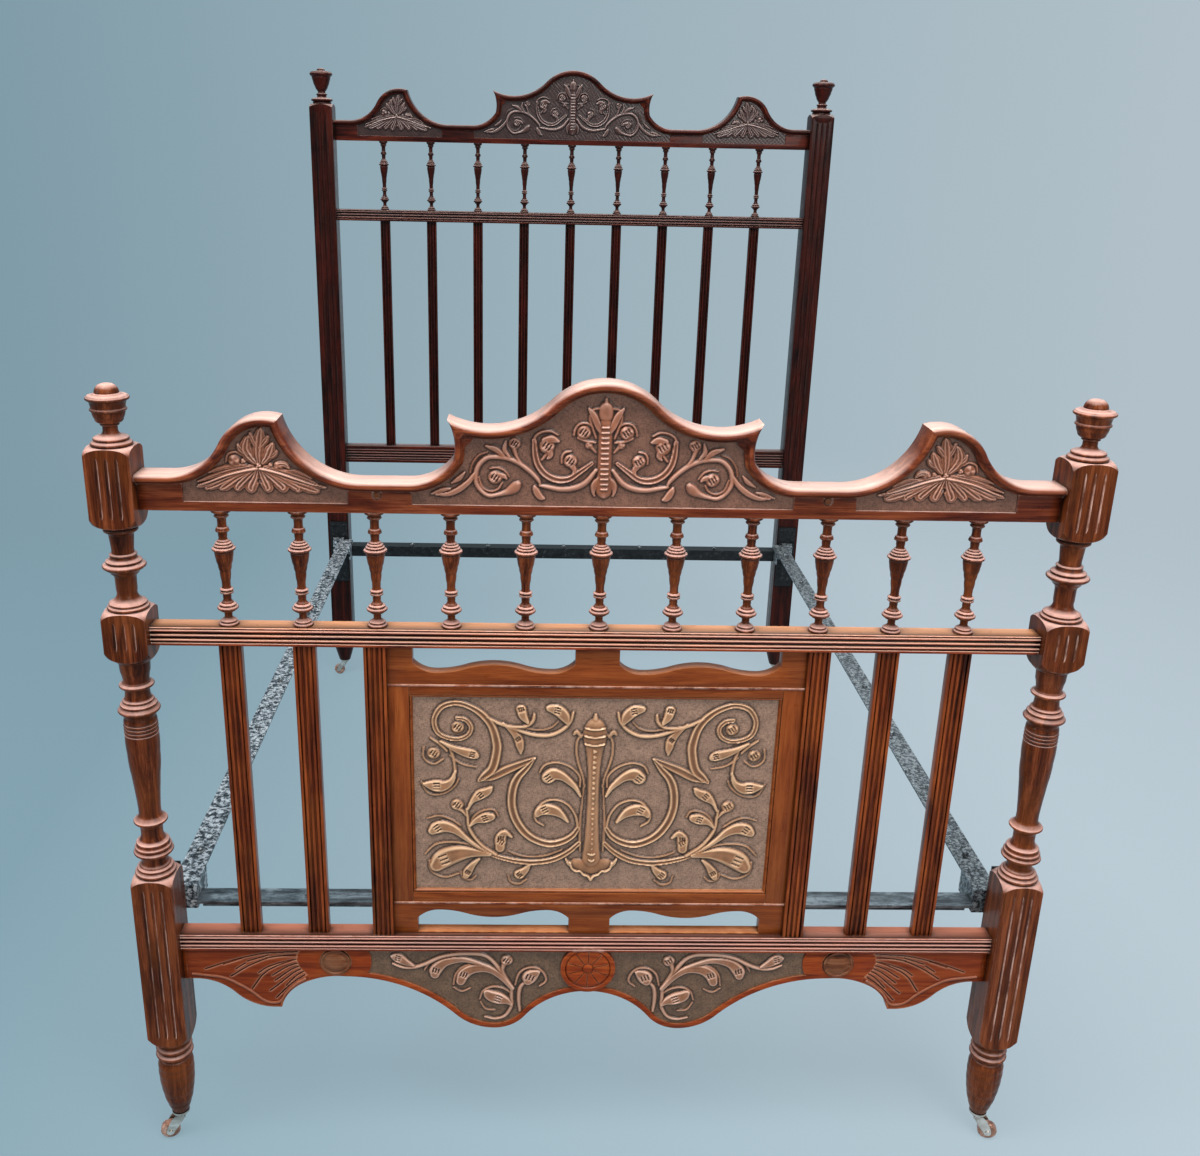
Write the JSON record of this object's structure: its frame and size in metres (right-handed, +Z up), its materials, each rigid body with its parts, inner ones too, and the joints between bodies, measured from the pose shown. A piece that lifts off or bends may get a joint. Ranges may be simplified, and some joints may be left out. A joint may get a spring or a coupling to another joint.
{
  "type": "bedstead",
  "caption": "Carved wooden double bedstead with turned posts and spindles, shaped crests, a carved panel, loose side irons and castors.",
  "frame": {"origin": "on the floor, under the middle of the bed's outer box", "axes": "+X to the bed's right seen from its foot, +Y from foot to head, +Z up"},
  "size_m": [1.4428, 1.959, 1.8035],
  "materials": {
    "foot_walnut": "satin",
    "head_walnut": "satin",
    "carved_walnut": "satin",
    "galvanised_iron": "mottled",
    "bracket_iron": "satin",
    "lath_studs": "mottled",
    "castor_metal": "polished",
    "castor_tread": "glossy"
  },
  "bodies": {
    "bedstead": {"castor_cup_foot_left": "castor_metal", "castor_cup_foot_right": "castor_metal", "castor_cup_head_left": "castor_metal", "castor_cup_head_right": "castor_metal", "cross_iron_studs": "lath_studs", "foot_apron": "foot_walnut", "foot_bottom_rail": "foot_walnut", "foot_bracket_left": "bracket_iron", "foot_bracket_right": "bracket_iron", "foot_carved_panel": "carved_walnut", "foot_crest_rail": "foot_walnut", "foot_cross_iron": "galvanised_iron", "foot_finial_left": "foot_walnut", "foot_finial_right": "foot_walnut", "foot_mid_rail": "foot_walnut", "foot_panel_bottom_rail": "foot_walnut", "foot_panel_stile_left": "foot_walnut", "foot_panel_stile_right": "foot_walnut", "foot_panel_top_rail": "foot_walnut", "foot_post_left": "foot_walnut", "foot_post_right": "foot_walnut", "foot_slat_inner_left": "foot_walnut", "foot_slat_inner_right": "foot_walnut", "foot_slat_outer_left": "foot_walnut", "foot_slat_outer_right": "foot_walnut", "foot_spindles": "foot_walnut", "foot_upright_left": "foot_walnut", "foot_upright_right": "foot_walnut", "head_bracket_left": "bracket_iron", "head_bracket_right": "bracket_iron", "head_crest_rail": "head_walnut", "head_cross_iron": "bracket_iron", "head_finial_left": "head_walnut", "head_finial_right": "head_walnut", "head_low_rail": "head_walnut", "head_mid_rail": "head_walnut", "head_post_left": "head_walnut", "head_post_right": "head_walnut", "head_slats": "head_walnut", "head_spindles": "head_walnut", "side_iron_left": "galvanised_iron", "side_iron_right": "galvanised_iron", "side_iron_studs": "lath_studs"},
    "castor_fork_foot_left": {"castor_fork_foot_left": "castor_metal", "castor_axle_foot_left": "castor_metal"},
    "castor_wheel_foot_left": {"castor_wheel_foot_left": "castor_tread"},
    "castor_fork_foot_right": {"castor_fork_foot_right": "castor_metal", "castor_axle_foot_right": "castor_metal"},
    "castor_wheel_foot_right": {"castor_wheel_foot_right": "castor_tread"},
    "castor_fork_head_left": {"castor_fork_head_left": "castor_metal", "castor_axle_head_left": "castor_metal"},
    "castor_wheel_head_left": {"castor_wheel_head_left": "castor_tread"},
    "castor_fork_head_right": {"castor_fork_head_right": "castor_metal", "castor_axle_head_right": "castor_metal"},
    "castor_wheel_head_right": {"castor_wheel_head_right": "castor_tread"}
  },
  "joints": [
    {"name": "castor_swivel_foot_left", "type": "hinge", "parent": "bedstead", "child": "castor_fork_foot_left", "pos_m": [-0.686, -0.9475, 0.048], "axis": [0, 0, 1], "continuous": true},
    {"name": "castor_roll_foot_left", "type": "hinge", "parent": "castor_fork_foot_left", "child": "castor_wheel_foot_left", "pos_m": [-0.70492, -0.95222, 0.016], "axis": [0.2419, -0.9703, 0], "continuous": true},
    {"name": "castor_swivel_foot_right", "type": "hinge", "parent": "bedstead", "child": "castor_fork_foot_right", "pos_m": [0.686, -0.9475, 0.048], "axis": [0, 0, 1], "continuous": true},
    {"name": "castor_roll_foot_right", "type": "hinge", "parent": "castor_fork_foot_right", "child": "castor_wheel_foot_right", "pos_m": [0.70492, -0.95222, 0.016], "axis": [0.2419, 0.9703, 0], "continuous": true},
    {"name": "castor_swivel_head_left", "type": "hinge", "parent": "bedstead", "child": "castor_fork_head_left", "pos_m": [-0.686, 0.9485, 0.048], "axis": [0, 0, 1], "continuous": true},
    {"name": "castor_roll_head_left", "type": "hinge", "parent": "castor_fork_head_left", "child": "castor_wheel_head_left", "pos_m": [-0.70492, 0.95322, 0.016], "axis": [-0.2419, -0.9703, 0], "continuous": true},
    {"name": "castor_swivel_head_right", "type": "hinge", "parent": "bedstead", "child": "castor_fork_head_right", "pos_m": [0.686, 0.9485, 0.048], "axis": [0, 0, 1], "continuous": true},
    {"name": "castor_roll_head_right", "type": "hinge", "parent": "castor_fork_head_right", "child": "castor_wheel_head_right", "pos_m": [0.70492, 0.95322, 0.016], "axis": [-0.2419, 0.9703, 0], "continuous": true}
  ]
}
